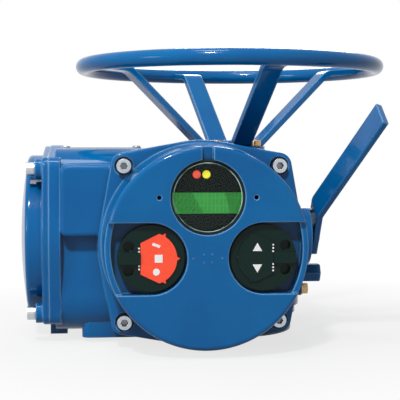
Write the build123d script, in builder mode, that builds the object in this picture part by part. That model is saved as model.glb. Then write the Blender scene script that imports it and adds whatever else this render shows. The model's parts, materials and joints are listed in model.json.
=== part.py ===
"""Multi-turn electric valve actuator: gear case, control cover, handwheel, declutch and drive train.

Frame: origin at the centre of the valve flange's face, on the drive axis, with +Z up the axis.
The control cover faces -Y, the terminal cover faces -X and the declutch lever stands at +X.
"""

import os
from math import atan2, cos, degrees, hypot, pi, radians, sin

from build123d import *

os.makedirs("parts", exist_ok=True)

# ---------------------------------------------------------------- fits and clearances
running = 0.05  # radial, a shaft in its bearing or bore
passing = 0.4  # beside a part that moves past another

# ---------------------------------------------------------------- standard fasteners
m8_r, m8_head_r, m8_head_h, m8_key = 4.0, 6.5, 8.0, 6.0
m6_r, m6_head_r, m6_head_h, m6_key = 3.0, 5.0, 6.0, 5.0
hole_allowance = 0.4  # radial, round a screw in its through hole
head_allowance = 0.5  # radial, round a screw head in its counterbore
thread_gap = 0.05  # radial, round a screw in its tapped hole
key_depth_share = 0.55  # of a screw head's height

# ---------------------------------------------------------------- valve flange, ISO 5210 F10
flange_r = 62.5
flange_h = 18.0
flange_pcd = 102.0
flange_tap_r = 4.25
flange_tap_depth = 16.0
base_spigot_r = 44.0
base_spigot_h = 12.0
base_screw_r = 55.0
base_screw_seat = 9.0
base_screw_l = 20.0

# ---------------------------------------------------------------- gear case
case_r = 70.0
case_wall = 12.0
case_top = 146.0
case_floor = 34.0
case_mouth_r = 50.0
case_mouth_z = 124.0
case_lid_r = 61.0
case_screw_r = (case_mouth_r + case_lid_r) / 2
case_screw_depth = 14.0

# ---------------------------------------------------------------- drive train
sleeve_r = 23.0
sleeve_bore_r = 16.5
sleeve_bottom = 4.0
sleeve_top = 165.0
collar_r = 33.0
collar_h = 8.0
stem_bore_r = 11.5  # Tr28 x 5
stem_nut_bottom = 6.0
stem_nut_h = 52.0
nut_key_w = 5.0
nut_key_r = 19.0
spline_r = 26.0
spline_w = 7.0
spline_count = 4
spline_z0, spline_z1 = 79.0, 112.0
retainer_t = 1.8
retainer_r = 27.4
spring_wire_r = 0.45
spring_r = 26.65
spring_turns = 3
bearing_outer_r = 38.0
bearing_bottom = 16.0
wear_gap = 0.3  # between faces that turn on each other

worm_z = 62.0
gear_module = 2.5
gear_teeth = 36
gear_face = 14.0
gear_hub_top = 78.2
gear_hub_r = 31.0
gear_rim_r = 40.0
worm_pitch_r = 14.0
worm_shaft_r = 9.0
worm_nose_r = 5.0
gear_pitch_r = gear_module * gear_teeth / 2
worm_x = -(gear_pitch_r + worm_pitch_r)
tooth_share = 0.36  # of the pitch, thickness of a tooth or thread at the pitch line

dog_count = 4
dog_h = 6.0
dog_inner_r = 29.0
dog_angle = 38.0  # degrees, width of one dog
ring_r = 40.0
ring_h = 18.0
ring_groove_h = 7.6
ring_groove_r = 33.5

# ---------------------------------------------------------------- declutch
declutch_y = -50.0
declutch_z = 97.0
declutch_turn = 35.0
roller_arm = 11.5
roller_r = 3.4
roller_w = 15.6
yoke_w = 26.0
yoke_arm_t = 3.0
yoke_arm_w = 6.0
yoke_room = 2.5  # round the yoke in its pocket of the case wall
declutch_shaft_r = 6.0
yoke_r = declutch_shaft_r + 3.0
declutch_shaft_x0 = -39.5
boss_r = 28.0
boss_face_x = 70.0
lever_hub_r = 11.0
lever_hub_w = 2.7
lever_w = 30.0
lever_t = 6.0
lever_lean = 35.0  # degrees from upright at rest, towards the front
lever_tail = 11.5
lever_bend_at = 34.0
lever_bend = 23.0  # degrees outward
lever_arm = 116.0
lever_screw_r = 7.0
lever_screw_h = 2.6
stop_pin_r = 2.5
stop_pin_along = 17.0
stop_pin_out = 7.5
stop_pin_in = 12.0

# ---------------------------------------------------------------- motor
motor_wall = 6.0
motor_bore_r = 52.0
motor_face_y = 152.0
motor_cover_t = 8.0
motor_screw_pitch = 86.0
motor_cap_r = 50.0
motor_cap_y = motor_face_y + 22.0
motor_cap_wall = 5.0
motor_floor_y = 72.0
motor_bearing_r = 16.0
motor_bearing_w = 10.0
stator_bore_r = 30.0
stator_l = 60.0
stator_y = 78.0
winding_h = 5.0
rotor_gap = 0.5

# ---------------------------------------------------------------- control compartment
panel_x = -38.0
panel_z = 95.0
cover_pitch = 141.0
cover_joint_y = -94.0
cover_flange_t = 12.0
cover_flange_r = 94.0
lobe_r = 12.0
drum_base_r = 91.0
drum_face_r = 88.3
drum_face_y = -159.0
drum_edge = 4.0
compartment_r = 80.0
compartment_back_y = -66.0
neck_r = 86.0
neck_flange_t = 14.0
cover_roof = 7.0
cover_inner_r = 78.0
spotface_r = m8_head_r + 2.1
spotface_depth = 2.5

window_up = 44.5
glass_r = 30.6
window_r = glass_r + 1.7
glass_t = 8.0
glass_set_back = 2.0
bezel_r = window_r + 0.9
bezel_t = 2.0
groove_w = 10.0
groove_depth = 5.0
face_hole_r = 1.9
face_hole_x = 41.8

board_t = 1.6
display_board_w, display_board_h = 62.0, 41.0
display_board_top = 70.0
main_board_w, main_board_h = 92.0, 100.0
main_board_y = -100.0
pillar_r = 3.0
pillar_inset = 5.0

encoder_r = 18.0
encoder_l = 16.0
encoder_module = 1.5
encoder_teeth = 24
encoder_pinion_teeth = 12
encoder_face = 5.6
encoder_shaft_r = 3.0

knob_spread = 97.5
knob_down = 8.0
knob_r = 29.0
knob_t = 8.0
pocket_r = knob_r + 2.0
pocket_depth = 14.0
pocket_rim = 5.0
pocket_rim_drop = 5.0
knob_bar_w = 9.8
knob_bar_h = 3.0
knob_recess_r = 4.7
knob_recess_x = -19.2
knob_recess_y = 10.4
knob_shaft_r = 4.0
magnet_r = 7.0
magnet_t = 4.0
pocket_wall = 6.0
plate_r = 22.4
plate_flat_x = -9.0
plate_t = 1.6
knob_turn = 60.0

lcd_h, lcd_t = 18.0, 4.0
lcd_down = 5.2
lamp_r = 3.6
lamp_up = 19.5
lamp_x = -8.8
lamp_pitch = 8.4

# ---------------------------------------------------------------- terminal compartment
terminal_z = 95.0
terminal_joint_x = -177.0
terminal_half_y = 80.0
terminal_half_z = 86.0
terminal_corner = 34.0
terminal_bore_r = 74.0
terminal_back_x = -124.0
terminal_pitch = 134.0
terminal_flange_r = 89.0
terminal_flange_t = 11.0
terminal_cover_flange_t = 6.0
terminal_lobe_r = 11.0
terminal_boss_r = 9.5
terminal_boss_h = 6.5
terminal_cap_r = 79.0
terminal_cap_face_x = -199.0
terminal_cap_crown = 7.0
terminal_cap_wall = 6.0
cap_edge = 4.0
crown_flat_r = 8.0

shelf_x0, shelf_x1 = -166.0, -116.0
shelf_z0, shelf_z1 = 101.0, 166.0
shelf_front_y = -94.0
conduit_x = -147.0
conduit_pitch = 60.0
conduit_r = 15.2  # M32 x 1.5
conduit_pad_r = 21.0
conduit_pad_y = 90.0
conduit_depth = 24.0
conduit_plug_flats = 27.0
terminal_block_l, terminal_block_w, terminal_block_h = 84.0, 60.0, 18.0
terminal_count = 6
gasket_w, gasket_t = 2.6, 2.4
plate_x0, plate_x1 = -166.0, -89.0
rating_plate_w, rating_plate_t = 48.0, 0.8
plate_inset = 4.0
rivet_r, rivet_h = 3.2, 1.8
foot_y0, foot_y1 = -48.0, -16.0
foot_z = 4.0

block_x0 = -147.0
block_z0, block_z1 = 4.0, 100.0
block_half_y = 70.0
tunnel_r = 25.0
worm_bearing_r = 20.0
worm_bearing_w = 12.0
worm_bearing_y = 32.0

plug_y, plug_z = -20.0, 57.0
plug_flats = 17.0
plug_head_l = 18.7
plug_thread_r = 7.5
earth_y, earth_z = -20.0, 41.0
earth_flats = 10.0
earth_head_h = 5.0
washer_t = 1.5
pad_margin = 2.0

# ---------------------------------------------------------------- handwheel
wheel_r = 145.0
wheel_tube_r = 7.5
wheel_z = 261.0
spoke_w = 20.0
spoke_t = 6.0
spoke_count = 4
spoke_angle = -75.0
spoke_foot_r, spoke_foot_z = 25.0, 179.5
spoke_bend_r, spoke_bend_z = 106.0, 258.0
spoke_bend_radius = 16.0
hub_r = 30.0
hub_bore_r = 23.4
hub_top_z = 183.0
hub_plate_t = 14.5
hub_plate_r = 36.0
hub_flange_h = 5.2
hub_bore_top = 167.0
bush_r = 34.0
turret_r = 42.0
turret_top = 168.0
top_cover_t = 8.0
skirt_bottom = 121.5
bush_top = 160.0
stem_cap_r = 19.0
stem_cap_head_r = 21.5
stem_cap_h = 6.0
stem_cap_spigot = 9.0
hub_screw_r = 29.0
hub_screw_l = 10.0


def facing_front(y, x=0.0, z=0.0):
    """Plane at this y that looks towards the front; its x is the frame's X and its y is up."""
    return Plane((x, y, z), x_dir=(1, 0, 0), z_dir=(0, -1, 0))


def facing_back(y, x=0.0, z=0.0):
    """Plane at this y that looks towards the back; its y is up."""
    return Plane((x, y, z), x_dir=(-1, 0, 0), z_dir=(0, 1, 0))


def facing_left(x, y=0.0, z=0.0):
    """Plane at this x that looks towards -X; its x points to the front and its y is up."""
    return Plane((x, y, z), x_dir=(0, -1, 0), z_dir=(-1, 0, 0))


def facing_right(x, y=0.0, z=0.0):
    """Plane at this x that looks towards +X; its x points to the back and its y is up."""
    return Plane((x, y, z), x_dir=(0, 1, 0), z_dir=(1, 0, 0))


def draw_disc(plane, radius, height, mode=Mode.ADD):
    """A cylinder that stands on the plane."""
    with BuildSketch(plane) as disc:
        Circle(radius)
    extrude(disc.sketch, amount=height, mode=mode)


def draw_ring(plane, outer, inner, height, mode=Mode.ADD):
    """A tube that stands on the plane."""
    with BuildSketch(plane) as ring:
        Circle(outer)
        Circle(inner, mode=Mode.SUBTRACT)
    extrude(ring.sketch, amount=height, mode=mode)


def draw_cap_screws(seat, spots, size, length):
    """Socket cap screws: heads stand on the seat and shanks run into it."""
    shank_r, head_r, head_h, key = size
    with BuildSketch(seat) as heads:
        with spots():
            Circle(head_r)
    extrude(heads.sketch, amount=head_h)
    with BuildSketch(seat) as shanks:
        with spots():
            Circle(shank_r)
    extrude(shanks.sketch, amount=-length)
    with BuildSketch(seat.offset(head_h)) as sockets:
        with spots():
            RegularPolygon(key / 2, 6, major_radius=False)
    extrude(sockets.sketch, amount=-head_h * key_depth_share, mode=Mode.SUBTRACT)


def cut_holes(plane, spots, radius, depth):
    """Round holes that run from the plane against its direction."""
    with BuildSketch(plane) as holes:
        with spots():
            Circle(radius)
    extrude(holes.sketch, amount=-depth, mode=Mode.SUBTRACT)


def draw_dogs(plane, height, start):
    """Clutch dogs: sectors of a ring that stand on the plane, the first one at the start angle."""
    with BuildSketch() as dog:
        with BuildLine():
            outer = CenterArc((0, 0), ring_r, -dog_angle / 2, dog_angle)
            inner = CenterArc((0, 0), dog_inner_r, -dog_angle / 2, dog_angle)
            Line(outer @ 0, inner @ 0)
            Line(outer @ 1, inner @ 1)
        make_face()
    with BuildSketch(plane) as dogs:
        with PolarLocations(0, dog_count, start_angle=start):
            add(dog.sketch)
    extrude(dogs.sketch, amount=height)


def draw_gear(plane, module, teeth, height, first_tooth=0.0):
    """A spur gear's body with straight-flanked teeth, the first one at the given angle."""
    pitch_r = module * teeth / 2
    root_r, tip_r = pitch_r - 1.1 * module, pitch_r + 0.95 * module
    half_at_pitch = tooth_share * pi * module / 2
    half_root, half_tip = half_at_pitch + 0.36 * module, half_at_pitch - 0.32 * module
    with BuildSketch() as tooth:
        with BuildLine():
            Polyline(
                (root_r - module / 2, half_root),
                (root_r, half_root),
                (tip_r, half_tip),
                (tip_r, -half_tip),
                (root_r, -half_root),
                (root_r - module / 2, -half_root),
                close=True,
            )
        make_face()
    with BuildSketch(plane) as blank:
        Circle(root_r)
        with PolarLocations(0, teeth, start_angle=first_tooth):
            add(tooth.sketch)
    extrude(blank.sketch, amount=height)


m8 = (m8_r, m8_head_r, m8_head_h, m8_key)
m6 = (m6_r, m6_head_r, m6_head_h, m6_key)


def cover_corners():
    """The four corner screws of the control cover."""
    return GridLocations(cover_pitch, cover_pitch, 2, 2)


def terminal_corners():
    """The four corner screws of the terminal cover."""
    return GridLocations(terminal_pitch, terminal_pitch, 2, 2)


def motor_corners():
    """The four screws of the motor cover."""
    return GridLocations(motor_screw_pitch, motor_screw_pitch, 2, 2)


def flange_studs():
    """The four tapped holes of the valve flange."""
    return PolarLocations(flange_pcd / 2, 4, start_angle=45)


def base_screw_spots():
    """The four screws that hold the thrust base, between the valve flange's holes."""
    return PolarLocations(base_screw_r, 4)


def case_screw_spots():
    """The screws of the gear case cover."""
    return PolarLocations(case_screw_r, 6, start_angle=15)


def hub_screw_spots():
    """The screws on the handwheel hub, between its spokes."""
    return PolarLocations(hub_screw_r, 4, start_angle=spoke_angle + 45)


motor_outer_r = motor_bore_r + motor_wall
motor_lug_r = 9.0
cover_seat_y = cover_joint_y - cover_flange_t
cover_spot_y = cover_seat_y + spotface_depth
cover_joint = facing_front(cover_joint_y, panel_x, panel_z)
terminal_joint = facing_left(terminal_joint_x, 0, terminal_z)
motor_axis = (worm_x, worm_z)
motor_face = facing_back(motor_face_y, *motor_axis)
half_turn = radians(declutch_turn / 2)
ring_groove_z = declutch_z - roller_arm * sin(half_turn)
ring_bottom = ring_groove_z - ring_h / 2
ring_top = ring_bottom + ring_h
clutch_travel = 2 * roller_arm * sin(half_turn)
hub_dog_z = ring_top + clutch_travel + passing
hub_bottom = hub_dog_z + dog_h
block_mid_x = block_x0 / 2
terminal_body_x1 = worm_x
knob_spots = ((-knob_spread / 2, -knob_down), (knob_spread / 2, -knob_down))
pocket_floor_y = drum_face_y + pocket_depth
pocket_back_y = pocket_floor_y + cover_roof
knob_back_y = pocket_floor_y - passing
knob_front_y = knob_back_y - knob_t
glass_front_y = drum_face_y + glass_set_back
glass_back_y = glass_front_y + glass_t
bezel_back_y = glass_back_y + bezel_t
encoder_z = worm_z + encoder_module * (encoder_teeth + encoder_pinion_teeth) / 2
encoder_front_y = compartment_back_y - encoder_l
lean = radians(lever_lean)
stop_pin_side = lever_w / 2 + stop_pin_r
stop_pin_y = declutch_y - stop_pin_along * sin(lean) + stop_pin_side * cos(lean)
stop_pin_z = declutch_z + stop_pin_along * cos(lean) + stop_pin_side * sin(lean)


def draw_lobed_plate(plane, disc_r, corners, corner_r, height):
    """A flange: a disc and four corner lobes in one outline."""
    with BuildSketch(plane) as outline:
        Circle(disc_r)
        with corners():
            Circle(corner_r)
        make_hull()
    extrude(outline.sketch, amount=height)


def draw_pockets(plane, radius, reach, height, mode):
    """The two U-shaped knob recesses, round towards the middle and open outward to the reach."""
    with BuildSketch(plane) as recesses:
        for spot_x, spot_y in knob_spots:
            side = 1 if spot_x > 0 else -1
            with Locations((spot_x, spot_y)):
                Circle(radius)
            with Locations((spot_x + side * reach / 2, spot_y)):
                Rectangle(reach, 2 * radius)
    extrude(recesses.sketch, amount=height, mode=mode)


# ---------------------------------------------------------------- gear housing casting
with BuildPart() as gear_housing:
    # gear case on its bottom flange
    draw_disc(Plane.XY.offset(flange_h), flange_r + 4, case_floor - flange_h)
    draw_disc(Plane.XY.offset(flange_h + 8), case_r, case_mouth_z - flange_h - 8)
    draw_disc(Plane.XY.offset(case_mouth_z), case_lid_r, case_top - case_mouth_z)
    # terminal compartment, a rounded square along X with its bolted flange
    with BuildSketch(facing_left(terminal_body_x1, 0, terminal_z)):
        RectangleRounded(2 * terminal_half_y, 2 * terminal_half_z, terminal_corner)
    extrude(amount=terminal_body_x1 - terminal_joint_x - terminal_flange_t / 2)
    draw_lobed_plate(
        terminal_joint, terminal_flange_r, terminal_corners, terminal_lobe_r, -terminal_flange_t
    )
    # raised block on the front of the terminal compartment
    with BuildSketch(facing_front(-terminal_half_y / 2)):
        with Locations(((shelf_x0 + shelf_x1) / 2, (shelf_z0 + shelf_z1) / 2)):
            RectangleRounded(shelf_x1 - shelf_x0, shelf_z1 - shelf_z0, 6)
    shelf = extrude(amount=-shelf_front_y - terminal_half_y / 2)
    fillet(shelf.edges().group_by(Axis.Y)[0], 4)
    # foot under the terminal flange
    with BuildSketch(facing_left(terminal_joint_x + 16)):
        with Locations((-(foot_y0 + foot_y1) / 2, (foot_z + 30) / 2)):
            RectangleRounded(foot_y1 - foot_y0, 30 - foot_z, 3)
    extrude(amount=16)
    # pads for the cable entries at the back
    for entry_z in (terminal_z - conduit_pitch / 2, terminal_z + conduit_pitch / 2):
        draw_disc(facing_back(0, conduit_x, entry_z), conduit_pad_r, conduit_pad_y)
    # block that holds the worm and carries the motor barrel
    with BuildSketch(Plane.XY.offset(block_z0)):
        with Locations((block_mid_x, 0)):
            RectangleRounded(-block_x0, 2 * block_half_y, 8)
    extrude(amount=block_z1 - block_z0)
    draw_disc(
        facing_back(block_half_y - 10, *motor_axis), motor_outer_r, motor_face_y - block_half_y + 10
    )
    draw_lobed_plate(motor_face, motor_outer_r, motor_corners, motor_lug_r, -case_screw_depth)
    # control compartment: neck and bolted flange
    neck_back_y = compartment_back_y + pocket_wall
    draw_disc(facing_front(neck_back_y, panel_x, panel_z), neck_r, neck_back_y - cover_joint_y)
    draw_lobed_plate(cover_joint, cover_flange_r, cover_corners, lobe_r, -neck_flange_t)
    # boss of the declutch shaft, pads of the oil plug and the earth screw
    draw_disc(facing_right(0, declutch_y, declutch_z), boss_r, boss_face_x)
    draw_disc(facing_right(0, plug_y, plug_z), plug_flats / 2 + pad_margin, boss_face_x)
    draw_disc(facing_right(0, earth_y, earth_z), earth_flats / 2 + pad_margin, boss_face_x)

    # room for the thrust base below and for the case lid above
    draw_disc(Plane.XY, flange_r + 1, flange_h, mode=Mode.SUBTRACT)
    draw_disc(Plane.XY.offset(case_top), case_lid_r + passing, case_top, mode=Mode.SUBTRACT)
    # gear case, spigot bore, control and terminal compartments
    draw_disc(
        Plane.XY.offset(case_floor), case_r - case_wall, case_mouth_z - case_floor, mode=Mode.SUBTRACT
    )
    draw_disc(Plane.XY.offset(case_mouth_z), case_mouth_r, case_top, mode=Mode.SUBTRACT)
    draw_disc(Plane.XY, base_spigot_r, case_floor, mode=Mode.SUBTRACT)
    draw_disc(
        facing_front(compartment_back_y, panel_x, panel_z), compartment_r, 60, mode=Mode.SUBTRACT
    )
    draw_disc(facing_left(terminal_back_x, 0, terminal_z), terminal_bore_r, 80, mode=Mode.SUBTRACT)
    # worm tunnel, its bearing seats and the motor
    worm_seat_end = worm_bearing_y + worm_bearing_w
    draw_disc(
        facing_back(-worm_seat_end, *motor_axis), worm_bearing_r, 2 * worm_seat_end, mode=Mode.SUBTRACT
    )
    draw_disc(
        facing_back(-worm_bearing_y, *motor_axis), tunnel_r, 2 * worm_bearing_y, mode=Mode.SUBTRACT
    )
    draw_disc(
        facing_back(0, *motor_axis), worm_shaft_r + passing, motor_floor_y, mode=Mode.SUBTRACT
    )
    draw_disc(
        facing_front(0, *motor_axis), worm_nose_r + running, -compartment_back_y, mode=Mode.SUBTRACT
    )
    draw_disc(
        facing_back(motor_floor_y, *motor_axis), motor_bore_r, motor_face_y, mode=Mode.SUBTRACT
    )
    # declutch shaft's bore and the yoke's pocket in the case wall
    draw_disc(
        facing_right(declutch_shaft_x0, declutch_y, declutch_z),
        declutch_shaft_r + running,
        2 * boss_face_x,
        mode=Mode.SUBTRACT,
    )
    with BuildSketch(facing_right(-yoke_w / 2 - yoke_room, declutch_y, declutch_z)):
        Circle(yoke_r + yoke_room)
    extrude(amount=yoke_w + 2 * yoke_room, mode=Mode.SUBTRACT)
    draw_disc(
        facing_right(
            boss_face_x - stop_pin_in,
            stop_pin_y,
            stop_pin_z,
        ),
        stop_pin_r,
        2 * stop_pin_in,
        mode=Mode.SUBTRACT,
    )
    # tapped holes
    cut_holes(cover_joint, cover_corners, m8_r + thread_gap, neck_flange_t)
    cut_holes(terminal_joint, terminal_corners, m8_r + thread_gap, terminal_flange_t + 12)
    cut_holes(motor_face, motor_corners, m6_r + thread_gap, case_screw_depth)
    cut_holes(Plane.XY.offset(case_top), case_screw_spots, m6_r + thread_gap, case_screw_depth)
    cut_holes(Plane.XY.offset(case_floor - 2), base_screw_spots, m6_r + thread_gap, case_floor - 2)
    for side_y, side_z, hole_r in (
        (plug_y, plug_z, plug_thread_r),
        (earth_y, earth_z, m6_r),
    ):
        draw_disc(
            facing_right(boss_face_x - case_wall, side_y, side_z),
            hole_r + thread_gap,
            case_wall,
            mode=Mode.SUBTRACT,
        )
    for entry_z in (terminal_z - conduit_pitch / 2, terminal_z + conduit_pitch / 2):
        draw_disc(
            facing_back(conduit_pad_y - conduit_depth, conduit_x, entry_z),
            conduit_r,
            conduit_depth,
            mode=Mode.SUBTRACT,
        )
gear_housing.part.label = "gear_housing"
export_step(gear_housing.part, "parts/gear_housing.step")

# ---------------------------------------------------------------- thrust base with the valve flange
with BuildPart() as thrust_base:
    draw_disc(Plane.XY, flange_r, flange_h)
    draw_disc(Plane.XY.offset(flange_h), base_spigot_r - running, base_spigot_h)
    fillet(thrust_base.edges().filter_by(GeomType.CIRCLE).group_by(Axis.Z)[0], 1.5)
    draw_disc(Plane.XY, sleeve_r + passing, bearing_bottom, mode=Mode.SUBTRACT)
    draw_disc(Plane.XY.offset(bearing_bottom), bearing_outer_r, flange_h, mode=Mode.SUBTRACT)
    cut_holes(Plane.XY.offset(flange_tap_depth), flange_studs, flange_tap_r, flange_tap_depth)
    cut_holes(Plane.XY.offset(flange_h), base_screw_spots, m6_r + hole_allowance, flange_h)
    cut_holes(Plane.XY.offset(base_screw_seat), base_screw_spots, m6_head_r + head_allowance, base_screw_seat)
thrust_base.part.label = "thrust_base"
export_step(thrust_base.part, "parts/thrust_base.step")

with BuildPart() as thrust_base_screws:
    seat = Plane((0, 0, base_screw_seat), x_dir=(1, 0, 0), z_dir=(0, 0, -1))
    draw_cap_screws(seat, base_screw_spots, m6, base_screw_l)
thrust_base_screws.part.label = "thrust_base_screws"
export_step(thrust_base_screws.part, "parts/thrust_base_screws.step")

# ---------------------------------------------------------------- thrust bearing
bearing_top = flange_h + base_spigot_h
ball_r = 3.6
ball_track_r = (sleeve_r + bearing_outer_r) / 2
washer_h = (bearing_top - bearing_bottom) / 2 - ball_r - running
with BuildPart(Plane.XY.offset((bearing_bottom + bearing_top) / 2)) as thrust_bearing:
    with PolarLocations(ball_track_r, 18):
        Sphere(ball_r)
    for washer_z in (bearing_bottom, bearing_top - washer_h):
        draw_ring(Plane.XY.offset(washer_z), bearing_outer_r - running, sleeve_r + running, washer_h)
thrust_bearing.part.label = "thrust_bearing"
export_step(thrust_bearing.part, "parts/thrust_bearing.step")

# ---------------------------------------------------------------- drive sleeve and stem nut
with BuildPart() as drive_sleeve:
    draw_disc(Plane.XY.offset(sleeve_bottom), sleeve_r, sleeve_top - sleeve_bottom)
    draw_disc(Plane.XY.offset(bearing_top), collar_r, collar_h)
    with BuildSketch(Plane.XY.offset(spline_z0)):
        with PolarLocations((sleeve_r + spline_r) / 2 - 2, spline_count):
            Rectangle(spline_r - sleeve_r + 4, spline_w)
        Circle(spline_r, mode=Mode.INTERSECT)
    extrude(amount=spline_z1 - spline_z0)
    draw_disc(Plane.XY, sleeve_bore_r, sleeve_top, mode=Mode.SUBTRACT)
    nut_z0 = stem_nut_bottom
    with BuildSketch(Plane.XY.offset(sleeve_bottom)):
        with Locations((nut_key_r / 2, 0)):
            Rectangle(nut_key_r + 2 * running, nut_key_w + 2 * running)
    extrude(amount=nut_z0 + stem_nut_h - sleeve_bottom, mode=Mode.SUBTRACT)
drive_sleeve.part.label = "drive_sleeve"
export_step(drive_sleeve.part, "parts/drive_sleeve.step")

with BuildPart() as stem_nut:
    with BuildSketch(Plane.XY.offset(stem_nut_bottom)):
        Circle(sleeve_bore_r - running)
        with Locations((nut_key_r / 2, 0)):
            Rectangle(nut_key_r, nut_key_w)
        Circle(stem_bore_r, mode=Mode.SUBTRACT)
    extrude(amount=stem_nut_h)
stem_nut.part.label = "stem_nut"
export_step(stem_nut.part, "parts/stem_nut.step")

# ---------------------------------------------------------------- worm gear
collar_top = bearing_top + collar_h
with BuildPart() as worm_gear:
    draw_gear(
        Plane.XY.offset(worm_z - gear_face / 2), gear_module, gear_teeth, gear_face, first_tooth=180
    )
    draw_disc(Plane.XY.offset(collar_top + wear_gap), gear_hub_r, gear_hub_top - collar_top - wear_gap)
    draw_disc(Plane.XY.offset(worm_z), gear_rim_r, gear_hub_top - worm_z)
    draw_dogs(Plane.XY.offset(gear_hub_top), dog_h, 0)
    draw_disc(Plane.XY, sleeve_r + running, case_top, mode=Mode.SUBTRACT)
worm_gear.part.label = "worm_gear"
export_step(worm_gear.part, "parts/worm_gear.step")

# ---------------------------------------------------------------- clutch ring, its spring and retainer
with BuildPart() as clutch_ring:
    draw_disc(Plane.XY.offset(ring_bottom), ring_r, ring_h)
    draw_ring(
        Plane.XY.offset(ring_groove_z - ring_groove_h / 2),
        ring_r + 1,
        ring_groove_r,
        ring_groove_h,
        mode=Mode.SUBTRACT,
    )
    draw_dogs(Plane.XY.offset(ring_bottom - dog_h), dog_h, 45)
    draw_dogs(Plane.XY.offset(ring_top), dog_h, 45)
    with BuildSketch(Plane.XY.offset(ring_bottom)):
        Circle(sleeve_r + running)
        with PolarLocations(spline_r / 2, spline_count):
            Rectangle(spline_r + 2 * running, spline_w + 2 * running)
    extrude(amount=ring_h, mode=Mode.SUBTRACT)
clutch_ring.part.label = "clutch_ring"
export_step(clutch_ring.part, "parts/clutch_ring.step")

with BuildPart() as spring_retainer:
    draw_ring(Plane.XY.offset(spline_z1), retainer_r, sleeve_r + running, retainer_t)
spring_retainer.part.label = "spring_retainer"
export_step(spring_retainer.part, "parts/spring_retainer.step")

spring_gap = spline_z1 - ring_top - 2 * spring_wire_r - 0.1
with BuildPart() as clutch_spring:
    with BuildLine(Plane.XY.offset(ring_top + spring_wire_r + 0.05)) as coil:
        Helix(pitch=spring_gap / spring_turns, height=spring_gap, radius=spring_r)
    with BuildSketch(Plane(origin=coil.line @ 0, z_dir=coil.line % 0)):
        Circle(spring_wire_r)
    sweep()
clutch_spring.part.label = "clutch_spring"
export_step(clutch_spring.part, "parts/clutch_spring.step")

# ---------------------------------------------------------------- worm shaft and bearings
thread_pitch = pi * gear_module
thread_turns = 5.5
worm_core_r = worm_pitch_r - 1.1 * gear_module
worm_tip_r = worm_pitch_r + 0.9 * gear_module
half_thread = tooth_share * thread_pitch / 2
encoder_gear_y = encoder_front_y - passing - encoder_face
with BuildPart() as worm_shaft:
    thread_start = (worm_x, -thread_turns * thread_pitch / 2, worm_z)
    with BuildLine() as thread_line:
        Helix(
            pitch=thread_pitch,
            height=thread_turns * thread_pitch,
            radius=worm_pitch_r,
            center=thread_start,
            direction=(0, 1, 0),
        )
    start = thread_line.line @ 0
    section = Plane(
        origin=start, x_dir=start - Vector(*thread_start), z_dir=thread_line.line % 0
    )
    with BuildSketch(section):
        with BuildLine():
            Polyline(
                (worm_core_r - worm_pitch_r - 0.6, half_thread + 0.8),
                (worm_tip_r - worm_pitch_r, half_thread - 0.7),
                (worm_tip_r - worm_pitch_r, -half_thread + 0.7),
                (worm_core_r - worm_pitch_r - 0.6, -half_thread - 0.8),
                close=True,
            )
        make_face()
    sweep(path=thread_line.line, is_frenet=True)
    draw_disc(facing_back(-worm_bearing_y, *motor_axis), worm_core_r, 2 * worm_bearing_y)
    draw_disc(
        facing_back(-worm_seat_end, *motor_axis), worm_shaft_r, worm_seat_end + motor_face_y
    )
    draw_disc(
        facing_front(-worm_seat_end, *motor_axis), worm_nose_r, -encoder_gear_y - worm_seat_end
    )
    draw_gear(
        facing_back(encoder_gear_y, *motor_axis), encoder_module, encoder_pinion_teeth, encoder_face, 90
    )
worm_shaft.part.label = "worm_shaft"
export_step(worm_shaft.part, "parts/worm_shaft.step")

with BuildPart() as worm_bearings:
    for bearing_y in (-worm_seat_end, worm_bearing_y):
        draw_ring(
            facing_back(bearing_y, *motor_axis),
            worm_bearing_r - running,
            worm_shaft_r + running,
            worm_bearing_w,
        )
    draw_ring(
        facing_back(motor_face_y - motor_bearing_w, *motor_axis),
        motor_bearing_r - running,
        worm_shaft_r + running,
        motor_bearing_w,
    )
worm_bearings.part.label = "worm_bearings"
export_step(worm_bearings.part, "parts/worm_bearings.step")

# ---------------------------------------------------------------- encoder and its gears
encoder_axis = (worm_x, encoder_z)
encoder_half_tooth = 180 / encoder_teeth
with BuildPart() as encoder_gear:
    draw_gear(
        facing_back(encoder_gear_y, *encoder_axis),
        encoder_module,
        encoder_teeth,
        encoder_face,
        -90 + encoder_half_tooth,
    )
    draw_disc(facing_back(encoder_gear_y, *encoder_axis), encoder_shaft_r, encoder_face + encoder_l - 2)
encoder_gear.part.label = "encoder_gear"
export_step(encoder_gear.part, "parts/encoder_gear.step")

with BuildPart() as encoder_body:
    draw_disc(facing_front(compartment_back_y, *encoder_axis), encoder_r, encoder_l)
    fillet(encoder_body.edges().group_by(Axis.Y)[0], 1.5)
    draw_disc(
        facing_front(compartment_back_y - 2, *encoder_axis),
        encoder_shaft_r + running,
        encoder_l,
        mode=Mode.SUBTRACT,
    )
    draw_disc(
        facing_front(compartment_back_y, *motor_axis), worm_nose_r + 1, encoder_l, mode=Mode.SUBTRACT
    )
encoder_body.part.label = "encoder_body"
export_step(encoder_body.part, "parts/encoder_body.step")

# ---------------------------------------------------------------- motor
with BuildPart() as motor_stator:
    draw_ring(
        facing_back(stator_y, *motor_axis), motor_bore_r - running, stator_bore_r, stator_l
    )
motor_stator.part.label = "motor_stator"
export_step(motor_stator.part, "parts/motor_stator.step")

with BuildPart() as motor_windings:
    for winding_y in (stator_y - winding_h, stator_y + stator_l):
        draw_ring(
            facing_back(winding_y, *motor_axis), motor_bore_r - 5, stator_bore_r + 3, winding_h
        )
motor_windings.part.label = "motor_windings"
export_step(motor_windings.part, "parts/motor_windings.step")

with BuildPart() as motor_rotor:
    draw_ring(
        facing_back(stator_y, *motor_axis), stator_bore_r - rotor_gap, worm_shaft_r, stator_l
    )
motor_rotor.part.label = "motor_rotor"
export_step(motor_rotor.part, "parts/motor_rotor.step")

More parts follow.
